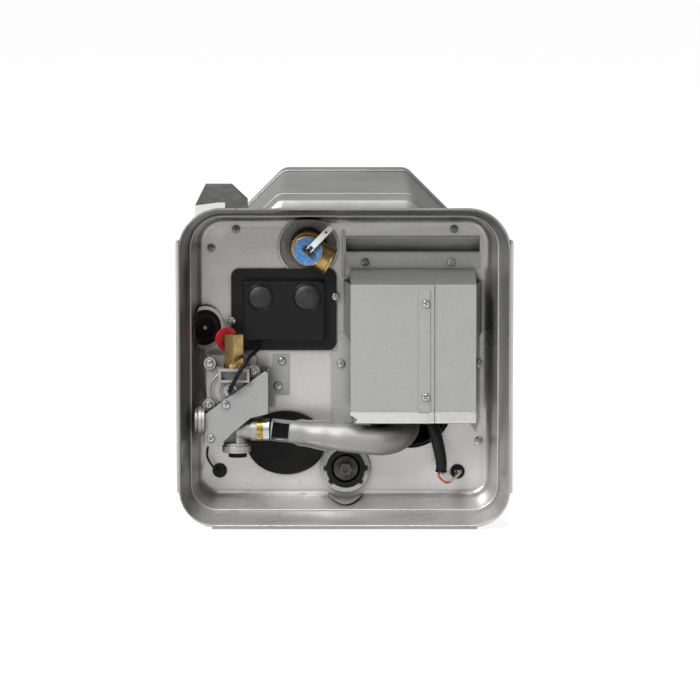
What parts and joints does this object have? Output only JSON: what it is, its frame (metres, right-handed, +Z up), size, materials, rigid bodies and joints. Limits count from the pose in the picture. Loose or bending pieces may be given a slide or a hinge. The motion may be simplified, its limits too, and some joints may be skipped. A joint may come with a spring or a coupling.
{
  "type": "caravan water heater",
  "caption": "Gas storage water heater for a caravan: open front pan with gas valve, burner box, relief valve and drain on an eight-sided insulated jacket.",
  "frame": {"origin": "middle of the underside of the box round the whole part", "axes": "+Z up, -Y out of the vehicle's wall towards the viewer, +X to the viewer's right"},
  "size_m": [0.3268, 0.4892, 0.325],
  "materials": {
    "pan_steel": "aluminised sheet, fine brushed grain",
    "jacket_steel": "bright aluminised sheet",
    "galvanised_steel": "galvanised sheet with faint spangle",
    "fibre_blanket": "loose fibre",
    "tank_steel": "clad sheet",
    "white_pipe": "moulded",
    "brass": "turned and dulled",
    "blue_disc": "satin paint",
    "plated_lever": "tumbled",
    "small_steel": "zinc plated",
    "grey_ring": "dull",
    "black_rubber": "moulded, slightly dusty",
    "brown_phenolic": "moulded",
    "cast_alloy": "die cast, fine grain",
    "coil_wrap": "taped winding",
    "red_cap": "soft moulded",
    "black_plastic": "moulded",
    "burner_steel": "drawn tube",
    "ceramic": "fired",
    "orange_wire": "smooth sleeve",
    "dark_wire": "smooth sleeve",
    "element_sheath": "drawn sheath",
    "plug_alloy": "turned and dulled",
    "box_paint": "satin",
    "white_plate": "moulded"
  },
  "bodies": {
    "heater": {"front_pan": "pan_steel", "mounting_flanges": "pan_steel", "jacket_front_cap": "jacket_steel", "jacket_wrapper": "jacket_steel", "jacket_rear_cap": "jacket_steel", "valve_bracket": "galvanised_steel", "box_left_cover": "galvanised_steel", "box_right_cover": "galvanised_steel", "box_top_plate": "galvanised_steel", "switch_clip_plate": "galvanised_steel", "flue_collector": "galvanised_steel", "insulation_upper": "fibre_blanket", "insulation_lower": "fibre_blanket", "tank_shell": "tank_steel", "tank_spuds": "tank_steel", "water_fittings": "tank_steel", "flue_tube": "tank_steel", "cold_dip_tube": "white_pipe", "drain_collar": "white_pipe", "relief_valve_body": "brass", "relief_probe": "brass", "gas_inlet_fitting": "brass", "burner_orifice": "brass", "relief_label_disc": "blue_disc", "relief_lever_pin": "small_steel", "relief_spring": "small_steel", "sheet_screws": "small_steel", "orifice_lock_ring": "small_steel", "relief_well_ring": "grey_ring", "thermostat_cover": "black_rubber", "electrode_boot": "black_rubber", "wire_grommets": "black_rubber", "gas_line_grommet": "black_rubber", "drain_seal": "black_rubber", "thermostat_switch": "brown_phenolic", "high_limit_switch": "brown_phenolic", "gas_valve_body": "cast_alloy", "regulator_cap": "cast_alloy", "outlet_elbow": "cast_alloy", "solenoid_coil": "coil_wrap", "elbow_plug": "black_plastic", "element_cover": "black_plastic", "burner_tube": "burner_steel", "spark_electrode": "ceramic", "ignition_leads": "orange_wire", "ground_wire": "dark_wire", "valve_lead": "dark_wire", "heating_element": "element_sheath", "junction_box": "box_paint", "junction_box_cover": "white_plate"},
    "relief_lever": {"relief_lever": "plated_lever"},
    "relief_stem": {"relief_stem": "small_steel"},
    "thermostat_reset": {"thermostat_reset_button": "black_rubber"},
    "high_limit_reset": {"high_limit_reset_button": "black_rubber"},
    "drain_plug": {"drain_plug": "plug_alloy", "anode_rod": "plug_alloy"},
    "air_shutter": {"air_shutter": "burner_steel"},
    "valve_plunger": {"valve_plunger": "small_steel"},
    "transit_cap": {"transit_cap": "red_cap"}
  },
  "joints": [
    {"name": "lever_lift", "type": "hinge", "parent": "heater", "child": "relief_lever", "pos_m": [-0.036, -0.203, 0.268], "axis": [0.7193, 0, -0.6947], "range_deg": [0, 80]},
    {"name": "stem_lift", "type": "slide", "parent": "heater", "child": "relief_stem", "axis": [0, -1, 0], "range_m": [0, 0.0029], "stiffness_N_per_m": 1500},
    {"name": "thermostat_press", "type": "slide", "parent": "heater", "child": "thermostat_reset", "axis": [0, 1, 0], "range_m": [0, 0.003], "stiffness_N_per_m": 400},
    {"name": "high_limit_press", "type": "slide", "parent": "heater", "child": "high_limit_reset", "axis": [0, 1, 0], "range_m": [0, 0.003], "stiffness_N_per_m": 400},
    {"name": "drain_unscrew", "type": "slide", "parent": "heater", "child": "drain_plug", "axis": [0, -1, 0], "range_m": [0, 0.025]},
    {"name": "shutter_turn", "type": "hinge", "parent": "heater", "child": "air_shutter", "pos_m": [-0.07269, -0.1996, 0.092], "axis": [0.994, 0, -0.1097], "range_deg": [0, 60]},
    {"name": "plunger_lift", "type": "slide", "parent": "heater", "child": "valve_plunger", "axis": [0, 0, 1], "range_m": [0, 0.002], "stiffness_N_per_m": 300},
    {"name": "transit_cap_pull", "type": "slide", "parent": "heater", "child": "transit_cap", "axis": [-0.5446, 0.8387, 0], "range_m": [0, 0.008]}
  ],
  "couplings": [
    {"joint": "lever_lift", "follows": "stem_lift", "rad_per_m": 481.47}
  ]
}
